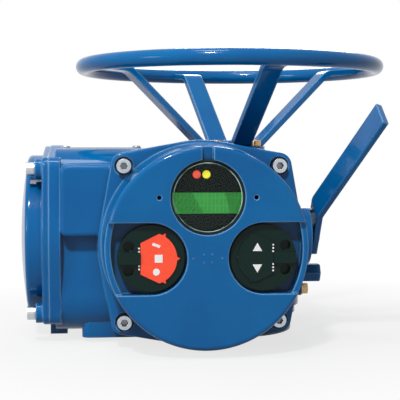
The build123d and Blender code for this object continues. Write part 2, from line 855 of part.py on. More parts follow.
with BuildPart() as motor_cover:
    draw_lobed_plate(motor_face, motor_outer_r, motor_corners, motor_lug_r, motor_cover_t)
    cap_back = motor_cap_y - motor_face_y
    draw_disc(motor_face, motor_cap_r, cap_back)
    fillet(motor_cover.edges().group_by(Axis.Y)[-1], 8)
    draw_disc(motor_face, motor_cap_r - motor_cap_wall, cap_back - motor_cap_wall, mode=Mode.SUBTRACT)
    draw_ring(
        facing_back(motor_face_y - motor_bearing_w, *motor_axis),
        motor_bearing_r + motor_cap_wall,
        motor_bearing_r,
        motor_bearing_w + cap_back - 1,
    )
    cut_holes(
        facing_back(motor_face_y + motor_cover_t, *motor_axis),
        motor_corners,
        m6_r + hole_allowance,
        motor_cover_t,
    )
motor_cover.part.label = "motor_cover"
export_step(motor_cover.part, "parts/motor_cover.step")

with BuildPart() as motor_cover_screws:
    draw_cap_screws(
        facing_back(motor_face_y + motor_cover_t, *motor_axis),
        motor_corners,
        m6,
        motor_cover_t + case_screw_depth - 2,
    )
motor_cover_screws.part.label = "motor_cover_screws"
export_step(motor_cover_screws.part, "parts/motor_cover_screws.step")

# ---------------------------------------------------------------- gear case lid, bush and seal
with BuildPart() as case_lid:
    draw_disc(Plane.XY.offset(case_top), case_lid_r, top_cover_t)
    draw_disc(Plane.XY.offset(case_top), turret_r, turret_top - case_top)
    draw_disc(Plane.XY.offset(skirt_bottom), case_mouth_r - running, case_top - skirt_bottom)
    draw_disc(Plane.XY, bush_r, turret_top, mode=Mode.SUBTRACT)
    cut_holes(
        Plane.XY.offset(case_top + top_cover_t), case_screw_spots, m6_r + hole_allowance, top_cover_t
    )
case_lid.part.label = "case_lid"
export_step(case_lid.part, "parts/case_lid.step")

with BuildPart() as case_lid_screws:
    draw_cap_screws(
        Plane.XY.offset(case_top + top_cover_t), case_screw_spots, m6, top_cover_t + case_screw_depth - 2
    )
case_lid_screws.part.label = "case_lid_screws"
export_step(case_lid_screws.part, "parts/case_lid_screws.step")

with BuildPart() as hub_bush:
    draw_ring(Plane.XY.offset(skirt_bottom), bush_r, hub_r, bush_top - skirt_bottom)
hub_bush.part.label = "hub_bush"
export_step(hub_bush.part, "parts/hub_bush.step")

with BuildPart() as hub_seal:
    draw_ring(Plane.XY.offset(bush_top), bush_r, hub_r + running, turret_top - bush_top - 1)
hub_seal.part.label = "hub_seal"
export_step(hub_seal.part, "parts/hub_seal.step")

# ---------------------------------------------------------------- handwheel
hub_plate_z = hub_top_z - hub_plate_t
with BuildPart() as handwheel_hub:
    draw_disc(Plane.XY.offset(hub_bottom), hub_r - running, hub_top_z - hub_bottom)
    draw_disc(Plane.XY.offset(hub_bottom), ring_r, hub_flange_h)
    draw_disc(Plane.XY.offset(hub_plate_z), hub_plate_r, hub_plate_t)
    draw_dogs(Plane.XY.offset(hub_dog_z), dog_h, 0)
    draw_disc(Plane.XY, hub_bore_r, hub_bore_top, mode=Mode.SUBTRACT)
    draw_disc(Plane.XY, stem_cap_r, hub_top_z, mode=Mode.SUBTRACT)
    cut_holes(Plane.XY.offset(hub_top_z), hub_screw_spots, m6_r + thread_gap, hub_screw_l + 1)
handwheel_hub.part.label = "handwheel_hub"
export_step(handwheel_hub.part, "parts/handwheel_hub.step")

with BuildPart() as handwheel_rim:
    with BuildSketch(Plane.XZ):
        with Locations((wheel_r, wheel_z)):
            Circle(wheel_tube_r)
    revolve(axis=Axis.Z)
handwheel_rim.part.label = "handwheel_rim"
export_step(handwheel_rim.part, "parts/handwheel_rim.step")

with BuildPart() as one_spoke:
    with BuildLine(Plane.XZ) as spoke_path:
        FilletPolyline(
            (spoke_foot_r, spoke_foot_z),
            (spoke_bend_r, spoke_bend_z),
            (wheel_r, wheel_z),
            radius=spoke_bend_radius,
        )
    with BuildSketch(Plane(origin=spoke_path.line @ 0, x_dir=(0, 1, 0), z_dir=spoke_path.line % 0)):
        Rectangle(spoke_w, spoke_t)
    sweep(path=spoke_path.line)

with BuildPart() as handwheel_spokes:
    with PolarLocations(0, spoke_count, start_angle=spoke_angle):
        add(one_spoke.part)
    add(handwheel_rim.part, mode=Mode.SUBTRACT)
    add(handwheel_hub.part, mode=Mode.SUBTRACT)
    draw_disc(Plane.XY.offset(hub_plate_z), hub_plate_r - 1, hub_plate_t, mode=Mode.SUBTRACT)
handwheel_spokes.part.label = "handwheel_spokes"
export_step(handwheel_spokes.part, "parts/handwheel_spokes.step")

with BuildPart() as hub_screws:
    draw_cap_screws(Plane.XY.offset(hub_top_z), hub_screw_spots, m6, hub_screw_l)
hub_screws.part.label = "hub_screws"
export_step(hub_screws.part, "parts/hub_screws.step")

with BuildPart() as stem_cap:
    draw_disc(Plane.XY.offset(hub_top_z - stem_cap_spigot), stem_cap_r - running, stem_cap_spigot)
    draw_disc(Plane.XY.offset(hub_top_z), stem_cap_head_r, stem_cap_h)
    fillet(stem_cap.edges().group_by(Axis.Z)[-1], 4)
stem_cap.part.label = "stem_cap"
export_step(stem_cap.part, "parts/stem_cap.step")

# ---------------------------------------------------------------- declutch shaft, yoke and roller
shaft_plane = facing_right(declutch_shaft_x0, declutch_y, declutch_z)
lever_bar_x = boss_face_x + wear_gap + lever_hub_w
lever_out_x = lever_bar_x + lever_t
roller_y = declutch_y + roller_arm * cos(half_turn)
roller_z = ring_groove_z
with BuildPart() as declutch_shaft:
    draw_disc(shaft_plane, declutch_shaft_r, lever_out_x - declutch_shaft_x0)
declutch_shaft.part.label = "declutch_shaft"
export_step(declutch_shaft.part, "parts/declutch_shaft.step")

with BuildPart() as declutch_yoke:
    with BuildSketch(facing_right(-yoke_w / 2, declutch_y, declutch_z)):
        Circle(yoke_r)
    extrude(amount=yoke_w)
    arm_gap = roller_w / 2 + 0.2
    for arm_x in (-arm_gap - yoke_arm_t, arm_gap):
        with BuildSketch(facing_right(arm_x)):
            with Locations(((declutch_y + roller_y) / 2, (declutch_z + roller_z) / 2)):
                SlotCenterToCenter(
                    roller_arm, yoke_arm_w, rotation=degrees(atan2(roller_z - declutch_z, roller_y - declutch_y))
                )
        extrude(amount=yoke_arm_t)
    with BuildSketch(facing_right(-arm_gap)):
        with Locations((roller_y, roller_z)):
            Circle(roller_r + 1.2)
    extrude(amount=2 * arm_gap, mode=Mode.SUBTRACT)
    draw_disc(
        facing_right(-yoke_w, declutch_y, declutch_z), declutch_shaft_r + running, 2 * yoke_w,
        mode=Mode.SUBTRACT,
    )
declutch_yoke.part.label = "declutch_yoke"
export_step(declutch_yoke.part, "parts/declutch_yoke.step")

with BuildPart() as declutch_roller:
    draw_disc(facing_right(-roller_w / 2, roller_y, roller_z), roller_r, roller_w)
declutch_roller.part.label = "declutch_roller"
export_step(declutch_roller.part, "parts/declutch_roller.step")

# ---------------------------------------------------------------- declutch lever
lever_plane = Plane(
    (0, declutch_y, declutch_z), x_dir=(1, 0, 0), z_dir=(0, -cos(lean), -sin(lean))
)
lever_mid_x = lever_bar_x + lever_t / 2
bend = radians(lever_bend)
with BuildPart() as declutch_lever:
    with BuildLine(lever_plane) as lever_path:
        FilletPolyline(
            (lever_mid_x, -lever_tail),
            (lever_mid_x, lever_bend_at),
            (lever_mid_x + lever_arm * sin(bend), lever_bend_at + lever_arm * cos(bend)),
            radius=lever_t * 1.5,
        )
    with BuildSketch(Plane(origin=lever_path.line @ 0, x_dir=(1, 0, 0), z_dir=lever_path.line % 0)):
        RectangleRounded(lever_t, lever_w, 1)
    sweep(path=lever_path.line)
    draw_disc(facing_right(boss_face_x + wear_gap, declutch_y, declutch_z), lever_hub_r, lever_hub_w + 1)
    draw_disc(
        facing_right(boss_face_x, declutch_y, declutch_z), declutch_shaft_r + running, 20,
        mode=Mode.SUBTRACT,
    )
declutch_lever.part.label = "declutch_lever"
export_step(declutch_lever.part, "parts/declutch_lever.step")

with BuildPart() as lever_screw:
    draw_disc(facing_right(lever_out_x, declutch_y, declutch_z), lever_screw_r, lever_screw_h)
    fillet(lever_screw.edges().group_by(Axis.X)[-1], 1)
lever_screw.part.label = "lever_screw"
export_step(lever_screw.part, "parts/lever_screw.step")

with BuildPart() as lever_stop_pin:
    draw_disc(
        facing_right(boss_face_x - stop_pin_in, stop_pin_y, stop_pin_z),
        stop_pin_r,
        stop_pin_in + stop_pin_out,
    )
lever_stop_pin.part.label = "lever_stop_pin"
export_step(lever_stop_pin.part, "parts/lever_stop_pin.step")

# ---------------------------------------------------------------- control cover
cover_front = facing_front(drum_face_y, panel_x, panel_z)
window_spot = (0, window_up)
drum_h = cover_seat_y - drum_face_y
drum_draft = degrees(atan2(drum_base_r - drum_face_r, drum_h))
with BuildPart() as control_cover:
    draw_lobed_plate(cover_joint, cover_flange_r, cover_corners, lobe_r, cover_flange_t)
    fillet(control_cover.edges().group_by(Axis.Y)[0], 2)
    with BuildSketch(facing_front(cover_seat_y, panel_x, panel_z)):
        Circle(drum_base_r)
    extrude(amount=drum_h, taper=drum_draft)
    fillet(control_cover.edges().group_by(Axis.Y)[0], drum_edge)
    # knob recesses, each with a low rim at its outer side
    reach = drum_face_r - knob_spread / 2
    draw_pockets(cover_front, pocket_r, reach + 6, -pocket_rim_drop, Mode.SUBTRACT)
    with BuildSketch(facing_front(drum_face_y + pocket_depth, panel_x, panel_z)):
        for spot_x, spot_y in knob_spots:
            side = 1 if spot_x > 0 else -1
            with Locations((spot_x, spot_y)):
                Circle(pocket_r)
            with Locations((spot_x + side * reach / 2, spot_y)):
                Rectangle(reach, 2 * pocket_r)
        Circle(drum_face_r - pocket_rim, mode=Mode.INTERSECT)
    extrude(amount=pocket_depth, mode=Mode.SUBTRACT)
    # inside: one round hollow, deeper beside the knob recesses
    draw_disc(cover_joint, compartment_r, cover_joint_y - pocket_back_y, mode=Mode.SUBTRACT)
    with BuildSketch(facing_front(pocket_back_y, panel_x, panel_z)):
        Circle(cover_inner_r)
        for spot_x, spot_y in knob_spots:
            side = 1 if spot_x > 0 else -1
            with Locations((spot_x, spot_y)):
                Circle(pocket_r + pocket_wall, mode=Mode.SUBTRACT)
            with Locations((spot_x + side * compartment_r / 2, spot_y)):
                Rectangle(compartment_r, 2 * (pocket_r + pocket_wall), mode=Mode.SUBTRACT)
    extrude(amount=pocket_back_y - drum_face_y - cover_roof, mode=Mode.SUBTRACT)
    # window with the ring that its bezel presses on
    with BuildSketch(facing_front(glass_back_y, panel_x, panel_z)):
        with Locations(window_spot):
            Circle(bezel_r)
    extrude(amount=glass_back_y - drum_face_y - cover_roof)
    with BuildSketch(cover_front):
        with Locations(window_spot):
            Circle(window_r)
        for hole_x in (-face_hole_x, face_hole_x):
            with Locations((hole_x, window_up)):
                Circle(face_hole_r)
    extrude(amount=-(glass_back_y - drum_face_y), mode=Mode.SUBTRACT)
    with BuildSketch(cover_front):
        with Locations((0, window_up + window_r + 10)):
            Rectangle(groove_w, 24)
    extrude(amount=-groove_depth, mode=Mode.SUBTRACT)
    # knob shafts' bores
    with BuildSketch(cover_front):
        with Locations(*knob_spots):
            Circle(knob_shaft_r + running)
    extrude(amount=-(pocket_depth + cover_roof), mode=Mode.SUBTRACT)
    # spotfaces, screw holes and cast pockets of the flange
    seat = facing_front(cover_seat_y, panel_x, panel_z)
    cut_holes(seat, cover_corners, spotface_r, spotface_depth)
    cut_holes(seat, cover_corners, m8_r + hole_allowance, cover_flange_t)
control_cover.part.label = "control_cover"
export_step(control_cover.part, "parts/control_cover.step")

with BuildPart() as control_cover_screws:
    draw_cap_screws(
        facing_front(cover_spot_y, panel_x, panel_z),
        cover_corners,
        m8,
        cover_joint_y - cover_spot_y + neck_flange_t - 2,
    )
control_cover_screws.part.label = "control_cover_screws"
export_step(control_cover_screws.part, "parts/control_cover_screws.step")

# ---------------------------------------------------------------- window, display and boards
with BuildPart() as window_glass:
    with BuildSketch(facing_front(glass_back_y, panel_x, panel_z)):
        with Locations(window_spot):
            Circle(glass_r)
    extrude(amount=glass_t)
    chamfer(window_glass.edges().group_by(Axis.Y)[0], 0.8)
window_glass.part.label = "window_glass"
export_step(window_glass.part, "parts/window_glass.step")

with BuildPart() as window_gasket:
    with BuildSketch(facing_front(glass_back_y, panel_x, panel_z)):
        with Locations(window_spot):
            Circle(window_r - running)
            Circle(glass_r + running, mode=Mode.SUBTRACT)
    extrude(amount=glass_t)
window_gasket.part.label = "window_gasket"
export_step(window_gasket.part, "parts/window_gasket.step")

with BuildPart() as display_bezel:
    with BuildSketch(facing_front(bezel_back_y, panel_x, panel_z)):
        with Locations(window_spot):
            Circle(bezel_r - running)
        with Locations((0, window_up - lcd_down)):
            Rectangle(2 * glass_r, lcd_h + 2 * running, mode=Mode.SUBTRACT)
        with Locations((lamp_x, window_up + lamp_up), (lamp_x + lamp_pitch, window_up + lamp_up)):
            Circle(lamp_r + running, mode=Mode.SUBTRACT)
    extrude(amount=bezel_t)
display_bezel.part.label = "display_bezel"
export_step(display_bezel.part, "parts/display_bezel.step")

with BuildPart() as lcd_module:
    with BuildSketch(facing_front(bezel_back_y + lcd_t - bezel_t, panel_x, panel_z)):
        with Locations((0, window_up - lcd_down)):
            Rectangle(2 * glass_r - 2 * running, lcd_h)
    extrude(amount=lcd_t)
lcd_module.part.label = "lcd_module"
export_step(lcd_module.part, "parts/lcd_module.step")

board_front_y = bezel_back_y + lcd_t - bezel_t
lamp_tip_y = glass_back_y + 0.3
for lamp_name, lamp_place in (("lamp_red", lamp_x), ("lamp_yellow", lamp_x + lamp_pitch)):
    with BuildPart() as lamp:
        with BuildSketch(facing_front(board_front_y, panel_x, panel_z)):
            with Locations((lamp_place, window_up + lamp_up)):
                Circle(lamp_r)
        extrude(amount=board_front_y - lamp_tip_y)
        fillet(lamp.edges().group_by(Axis.Y)[0], 1.2)
    lamp.part.label = lamp_name
    export_step(lamp.part, f"parts/{lamp_name}.step")

board_mid = display_board_top - display_board_h / 2
with BuildPart() as circuit_boards:
    with BuildSketch(facing_front(board_front_y + board_t, panel_x, panel_z)):
        with Locations((0, board_mid)):
            RectangleRounded(display_board_w, display_board_h, 3)
    extrude(amount=board_t)
    board_plane = facing_front(main_board_y, panel_x, panel_z)
    with BuildSketch(board_plane):
        RectangleRounded(main_board_w, main_board_h, 4)
    extrude(amount=board_t)
    with BuildSketch(board_plane.offset(board_t)):
        with Locations((-20, 20)):
            Rectangle(28, 22)
        with Locations((22, -18)):
            Rectangle(30, 30)
    extrude(amount=9)
circuit_boards.part.label = "circuit_boards"
export_step(circuit_boards.part, "parts/circuit_boards.step")

with BuildPart() as board_pillars:
    with BuildSketch(facing_front(compartment_back_y, panel_x, panel_z)):
        with GridLocations(main_board_w - 2 * pillar_inset, main_board_h - 2 * pillar_inset, 2, 2):
            Circle(pillar_r)
    extrude(amount=compartment_back_y - main_board_y)
board_pillars.part.label = "board_pillars"
export_step(board_pillars.part, "parts/board_pillars.step")


# ---------------------------------------------------------------- selector knobs
def draw_knob(spot_x, side):
    """A knob with a raised bar and two recesses at its outer side; side is +1 or -1."""
    face = facing_front(knob_back_y, panel_x + spot_x, panel_z - knob_down)
    draw_disc(face, knob_r, knob_t)
    top = face.offset(knob_t)
    with BuildSketch(top) as bar:
        with Locations((side * (plate_edge + knob_r) / 2, 0)):
            Rectangle(knob_r - plate_edge, knob_bar_w)
        Circle(knob_r - 0.6, mode=Mode.INTERSECT)
    extrude(bar.sketch, amount=knob_bar_h)
    with BuildSketch(top) as recess:
        with Locations((-side * knob_recess_x, knob_recess_y), (-side * knob_recess_x, -knob_recess_y)):
            Circle(knob_recess_r)
    extrude(recess.sketch, amount=-knob_t + 2, mode=Mode.SUBTRACT)
    draw_disc(face, knob_shaft_r + running, knob_t - 2, mode=Mode.SUBTRACT)


def draw_knob_plate(spot_x, side):
    """The five-sided marking plate on a knob, with three small pointers; side is +1 or -1."""
    plane = facing_front(knob_front_y, panel_x + spot_x, panel_z - knob_down)
    with BuildSketch(plane) as plate:
        Circle(plate_r)
        with PolarLocations(plate_r - 1, 3, start_angle=-knob_turn if side < 0 else 180 - knob_turn,
                            angular_range=3 * knob_turn):
            Triangle(a=6.5, b=6.5, c=6.5, rotation=-90)
        with Locations((side * (plate_r + plate_edge) , 0)):
            Rectangle(2 * plate_r, 4 * plate_r, mode=Mode.SUBTRACT)
        for turn in (-1, 1):
            with Locations(Location((side * plate_edge, turn * plate_corner), side * turn * -plate_slope)):
                Rectangle(6 * plate_r, 2 * plate_r, align=(Align.CENTER, Align.MIN if turn > 0 else Align.MAX),
                          mode=Mode.SUBTRACT)
    extrude(plate.sketch, amount=plate_t)


plate_edge = -plate_flat_x
plate_corner = 13.5
plate_slope = 26.0
for name, spot_x, side in (("mode", -knob_spread / 2, -1), ("command", knob_spread / 2, 1)):
    with BuildPart() as knob:
        draw_knob(spot_x, side)
    knob.part.label = f"{name}_knob"
    export_step(knob.part, f"parts/{name}_knob.step")

    with BuildPart() as knob_plate:
        draw_knob_plate(spot_x, side)
    knob_plate.part.label = f"{name}_knob_plate"
    export_step(knob_plate.part, f"parts/{name}_knob_plate.step")

    with BuildPart() as knob_shaft:
        axis = (panel_x + spot_x, panel_z - knob_down)
        draw_disc(facing_front(pocket_back_y + passing, *axis), knob_shaft_r,
                  pocket_back_y + passing - knob_back_y + knob_t - 2)
        draw_disc(facing_front(pocket_back_y + passing + magnet_t, *axis), magnet_r, magnet_t)
    knob_shaft.part.label = f"{name}_knob_shaft"
    export_step(knob_shaft.part, f"parts/{name}_knob_shaft.step")

# ---------------------------------------------------------------- terminal cover
with BuildPart() as terminal_cover:
    draw_lobed_plate(
        terminal_joint,
        terminal_flange_r - 1,
        terminal_corners,
        terminal_lobe_r,
        terminal_cover_flange_t,
    )
    fillet(terminal_cover.edges().group_by(Axis.X)[0], 2)
    flange_face = facing_left(terminal_joint_x - terminal_cover_flange_t, 0, terminal_z)
    with BuildSketch(flange_face):
        with terminal_corners():
            Circle(terminal_boss_r)
    extrude(amount=terminal_boss_h)
    # crowned cap, turned about the compartment's axis
    rim_x = terminal_cap_face_x
    crown_x = rim_x - terminal_cap_crown
    cap_z = terminal_z + terminal_cap_r
    wall = terminal_cap_wall
    draw_disc(
        terminal_joint, terminal_cap_r - wall / 2, terminal_cover_flange_t, mode=Mode.SUBTRACT
    )
    with BuildSketch(Plane.XZ) as half_section:
        with BuildLine():
            rise = Line((terminal_joint_x, cap_z), (rim_x + cap_edge, cap_z))
            edge = JernArc(rise @ 1, rise % 1, cap_edge, 80)
            ThreePointArc(
                edge @ 1,
                (crown_x + terminal_cap_crown * 0.27, terminal_z + terminal_cap_r / 2),
                (crown_x, terminal_z + crown_flat_r),
            )
            Polyline(
                (crown_x, terminal_z + crown_flat_r),
                (crown_x, terminal_z),
                (crown_x + wall, terminal_z),
                (rim_x + wall, cap_z - wall),
                (terminal_joint_x, cap_z - wall),
                (terminal_joint_x, cap_z),
            )
        make_face()
    revolve(half_section.sketch, axis=Axis((0, 0, terminal_z), (1, 0, 0)))
    draw_ring(
        terminal_joint, terminal_cap_r + gasket_w, terminal_cap_r, gasket_t, mode=Mode.SUBTRACT
    )
    cut_holes(
        facing_left(terminal_joint_x - terminal_cover_flange_t - terminal_boss_h, 0, terminal_z),
        terminal_corners,
        m8_r + hole_allowance,
        terminal_cover_flange_t + terminal_boss_h,
    )
terminal_cover.part.label = "terminal_cover"
export_step(terminal_cover.part, "parts/terminal_cover.step")

with BuildPart() as terminal_cover_screws:
    draw_cap_screws(
        facing_left(terminal_joint_x - terminal_cover_flange_t - terminal_boss_h, 0, terminal_z),
        terminal_corners,
        m8,
        terminal_cover_flange_t + terminal_boss_h + 12,
    )
terminal_cover_screws.part.label = "terminal_cover_screws"
export_step(terminal_cover_screws.part, "parts/terminal_cover_screws.step")

with BuildPart() as terminal_cover_seal:
    draw_ring(terminal_joint, terminal_cap_r + gasket_w - running, terminal_cap_r + running, gasket_t)
terminal_cover_seal.part.label = "terminal_cover_seal"
export_step(terminal_cover_seal.part, "parts/terminal_cover_seal.step")

with BuildPart() as terminal_block:
    block_plane = facing_left(terminal_back_x, 0, terminal_z)
    with BuildSketch(block_plane):
        Rectangle(terminal_block_w, terminal_block_l)
    extrude(amount=terminal_block_h)
    slot_pitch = terminal_block_l / terminal_count
    with BuildSketch(block_plane.offset(terminal_block_h)):
        with GridLocations(terminal_block_w, slot_pitch, 2, terminal_count):
            Rectangle(26, slot_pitch - 3)
    extrude(amount=-8, mode=Mode.SUBTRACT)
terminal_block.part.label = "terminal_block"
export_step(terminal_block.part, "parts/terminal_block.step")

with BuildPart() as terminal_screws:
    with BuildSketch(block_plane.offset(terminal_block_h - 8)):
        with GridLocations(terminal_block_w - 12, slot_pitch, 2, terminal_count):
            Circle(3)
    extrude(amount=2.4)
terminal_screws.part.label = "terminal_screws"
export_step(terminal_screws.part, "parts/terminal_screws.step")

# ---------------------------------------------------------------- plugs, earth screw, rating plate
with BuildPart() as conduit_plug:
    plug_face = facing_back(conduit_pad_y, conduit_x, terminal_z - conduit_pitch / 2)
    with BuildSketch(plug_face):
        RegularPolygon(conduit_plug_flats / 2, 6, major_radius=False)
    extrude(amount=9)
    draw_disc(plug_face, conduit_r - running, -14)
    draw_disc(plug_face, conduit_r + 2.8, 2)
conduit_plug.part.label = "conduit_plug"
export_step(conduit_plug.part, "parts/conduit_plug.step")

with BuildPart() as oil_plug:
    plug_face = facing_right(boss_face_x, plug_y, plug_z)
    with BuildSketch(plug_face):
        RegularPolygon(plug_flats / 2, 6, major_radius=False)
    extrude(amount=plug_head_l)
    chamfer(oil_plug.edges().group_by(Axis.X)[-1], 1)
    draw_disc(plug_face, plug_thread_r, -case_wall + 2)
oil_plug.part.label = "oil_plug"
export_step(oil_plug.part, "parts/oil_plug.step")

with BuildPart() as earth_screw:
    earth_face = facing_right(boss_face_x, earth_y, earth_z)
    draw_disc(earth_face, earth_flats / 2 + 1.2, washer_t)
    with BuildSketch(earth_face.offset(washer_t)):
        RegularPolygon(earth_flats / 2, 6, major_radius=False)
    extrude(amount=earth_head_h)
    draw_disc(earth_face, m6_r, -case_wall + 2)
earth_screw.part.label = "earth_screw"
export_step(earth_screw.part, "parts/earth_screw.step")

terminal_top = terminal_z + terminal_half_z
plate_mid_x = (plate_x0 + plate_x1) / 2
with BuildPart() as rating_plate:
    with BuildSketch(Plane.XY.offset(terminal_top)):
        with Locations((plate_mid_x, 0)):
            RectangleRounded(plate_x1 - plate_x0, rating_plate_w, 3)
    extrude(amount=rating_plate_t)
rating_plate.part.label = "rating_plate"
export_step(rating_plate.part, "parts/rating_plate.step")

with BuildPart() as rating_plate_screws:
    with BuildSketch(Plane.XY.offset(terminal_top + rating_plate_t)):
        with Locations((plate_mid_x, 0)):
            with GridLocations(
                plate_x1 - plate_x0 - 2 * plate_inset, rating_plate_w - 2 * plate_inset, 2, 2
            ):
                Circle(rivet_r)
    extrude(amount=rivet_h)
    fillet(rating_plate_screws.edges().group_by(Axis.Z)[-1], 0.8)
rating_plate_screws.part.label = "rating_plate_screws"
export_step(rating_plate_screws.part, "parts/rating_plate_screws.step")
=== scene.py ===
import json
from math import pi, radians

import bpy
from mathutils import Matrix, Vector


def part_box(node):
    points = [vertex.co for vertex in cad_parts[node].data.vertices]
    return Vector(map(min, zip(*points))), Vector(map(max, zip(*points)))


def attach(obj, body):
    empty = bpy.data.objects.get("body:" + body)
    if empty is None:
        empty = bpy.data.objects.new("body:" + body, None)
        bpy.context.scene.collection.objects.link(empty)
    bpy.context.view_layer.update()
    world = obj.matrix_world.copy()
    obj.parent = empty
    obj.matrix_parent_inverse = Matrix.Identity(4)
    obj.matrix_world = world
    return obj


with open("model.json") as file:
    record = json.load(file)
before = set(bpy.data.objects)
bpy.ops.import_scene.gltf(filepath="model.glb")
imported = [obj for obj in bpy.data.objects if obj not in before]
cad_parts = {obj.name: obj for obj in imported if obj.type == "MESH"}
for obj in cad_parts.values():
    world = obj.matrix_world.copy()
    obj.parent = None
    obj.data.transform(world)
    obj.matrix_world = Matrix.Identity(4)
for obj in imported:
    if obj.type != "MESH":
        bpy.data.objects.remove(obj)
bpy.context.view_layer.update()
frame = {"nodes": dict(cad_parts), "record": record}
nodes = frame["nodes"]

# ---------------------------------------------------------------- studio
# A pale floor under white surroundings. The surroundings show white to the eye, in
# glass and in gloss, while the lamps alone set how bright the object is.
bpy.ops.object.select_all(action="DESELECT")
bpy.ops.mesh.primitive_plane_add(size=80, location=(0, 0, -0.0005))
floor = bpy.context.object
floor.name = "studio_floor"
floor_finish = bpy.data.materials.new("floor_white")
floor_finish.use_nodes = True
tree = floor_finish.node_tree
tree.nodes.clear()
surface = tree.nodes.new("ShaderNodeOutputMaterial")
matte = tree.nodes.new("ShaderNodeBsdfDiffuse")
matte.inputs["Color"].default_value = (0.45, 0.45, 0.45, 1)
glow = tree.nodes.new("ShaderNodeEmission")
glow.inputs["Color"].default_value = (1, 1, 1, 1)
seen = tree.nodes.new("ShaderNodeLightPath")
place = tree.nodes.new("ShaderNodeTexCoord")
away = tree.nodes.new("ShaderNodeVectorMath")
away.operation = "LENGTH"
fade = tree.nodes.new("ShaderNodeMapRange")
fade.inputs["From Min"].default_value = 0.1
fade.inputs["From Max"].default_value = 0.42
fade.inputs["To Min"].default_value = 0.74
fade.inputs["To Max"].default_value = 1
share = tree.nodes.new("ShaderNodeMath")
share.operation = "MULTIPLY"
blend = tree.nodes.new("ShaderNodeMixShader")
tree.links.new(place.outputs["Object"], away.inputs[0])
tree.links.new(away.outputs["Value"], fade.inputs["Value"])
seen_or_mirrored = tree.nodes.new("ShaderNodeMath")
seen_or_mirrored.operation = "MAXIMUM"
shows_white = tree.nodes.new("ShaderNodeMath")
shows_white.operation = "MAXIMUM"
tree.links.new(seen.outputs["Is Camera Ray"], seen_or_mirrored.inputs[0])
tree.links.new(seen.outputs["Is Glossy Ray"], seen_or_mirrored.inputs[1])
tree.links.new(seen_or_mirrored.outputs[0], shows_white.inputs[0])
tree.links.new(seen.outputs["Is Transmission Ray"], shows_white.inputs[1])
tree.links.new(shows_white.outputs[0], share.inputs[0])
tree.links.new(fade.outputs["Result"], share.inputs[1])
tree.links.new(share.outputs[0], blend.inputs[0])
tree.links.new(matte.outputs[0], blend.inputs[1])
tree.links.new(glow.outputs[0], blend.inputs[2])
tree.links.new(blend.outputs[0], surface.inputs["Surface"])
floor.data.materials.append(floor_finish)

world = bpy.data.worlds.new("studio")
bpy.context.scene.world = world
world.use_nodes = True
tree = world.node_tree
tree.nodes.clear()
sky = tree.nodes.new("ShaderNodeOutputWorld")
dim = tree.nodes.new("ShaderNodeBackground")
dim.inputs["Color"].default_value = (1, 1, 1, 1)
dim.inputs["Strength"].default_value = 0.03
white = tree.nodes.new("ShaderNodeBackground")
white.inputs["Color"].default_value = (1, 1, 1, 1)
seen = tree.nodes.new("ShaderNodeLightPath")
seen_or_through = tree.nodes.new("ShaderNodeMath")
seen_or_through.operation = "MAXIMUM"
shows_white = tree.nodes.new("ShaderNodeMath")
shows_white.operation = "MAXIMUM"
blend = tree.nodes.new("ShaderNodeMixShader")
tree.links.new(seen.outputs["Is Camera Ray"], seen_or_through.inputs[0])
tree.links.new(seen.outputs["Is Transmission Ray"], seen_or_through.inputs[1])
tree.links.new(seen_or_through.outputs[0], shows_white.inputs[0])
tree.links.new(seen.outputs["Is Glossy Ray"], shows_white.inputs[1])
tree.links.new(shows_white.outputs[0], blend.inputs[0])
tree.links.new(dim.outputs[0], blend.inputs[1])
tree.links.new(white.outputs[0], blend.inputs[2])
tree.links.new(blend.outputs[0], sky.inputs["Surface"])

for name, place, turn, size, power in (
    ("lamp_key", (-0.75, -1.75, 2.15), (41.9, 0, -23.3), 0.3, 74),
    ("lamp_top", (-0.35, -0.4, 2.3), (9, -8, 0), 0.6, 14),
    ("lamp_left", (-1.7, -0.9, 0.5), (78.5, 0, -63.8), 0.5, 9),
    ("lamp_right", (1.7, -1.9, 0.5), (82, 0, 41), 1.2, 2),
    ("lamp_back", (0.5, 2.2, 1.4), (-60, 0, -13), 1.0, 22),
):
    lamp_data = bpy.data.lights.new(name, "AREA")
    lamp_data.shape = "DISK"
    lamp_data.size = size
    lamp_data.energy = power
    lamp = bpy.data.objects.new(name, lamp_data)
    lamp.location = place
    lamp.rotation_euler = [radians(a) for a in turn]
    bpy.context.scene.collection.objects.link(lamp)

lens = bpy.data.cameras.new("view")
lens.lens = 94.5
lens.sensor_width = 36
camera = bpy.data.objects.new("view", lens)
camera.location = (-0.134, -1.050, 0.186)
camera.rotation_euler = (radians(90 - 3.1), 0, radians(-5.7))
bpy.context.scene.collection.objects.link(camera)
bpy.context.scene.camera = camera
bpy.context.scene.view_settings.view_transform = "Standard"

# ---------------------------------------------------------------- gear housing casting
# One iron casting holds the gear case, the worm, the motor and both compartments. It,
# its covers, the lever and the welded wheel wear one thick gloss enamel, which rounds
# the edges. Its colour carries a painted highlight, pale along the edges, and painted
# shade, darker in corners and recesses.
enamel = bpy.data.materials.new("blue_enamel")
enamel.use_nodes = True
tree = enamel.node_tree
skin = tree.nodes["Principled BSDF"]
skin.inputs["Roughness"].default_value = 0.17
skin.inputs["Specular IOR Level"].default_value = 0.06
skin.inputs["Coat Weight"].default_value = 0.25
skin.inputs["Coat Roughness"].default_value = 0.05
place = tree.nodes.new("ShaderNodeTexCoord")
tint = tree.nodes.new("ShaderNodeTexNoise")
tint.inputs["Scale"].default_value = 14
tint.inputs["Detail"].default_value = 5
tones = tree.nodes.new("ShaderNodeValToRGB")
tones.color_ramp.elements[0].position = 0.35
tones.color_ramp.elements[0].color = (0.0, 0.090, 0.275, 1)
tones.color_ramp.elements[1].position = 0.65
tones.color_ramp.elements[1].color = (0.0, 0.112, 0.312, 1)
cast = tree.nodes.new("ShaderNodeTexNoise")
cast.inputs["Scale"].default_value = 260
cast.inputs["Detail"].default_value = 4
relief = tree.nodes.new("ShaderNodeBump")
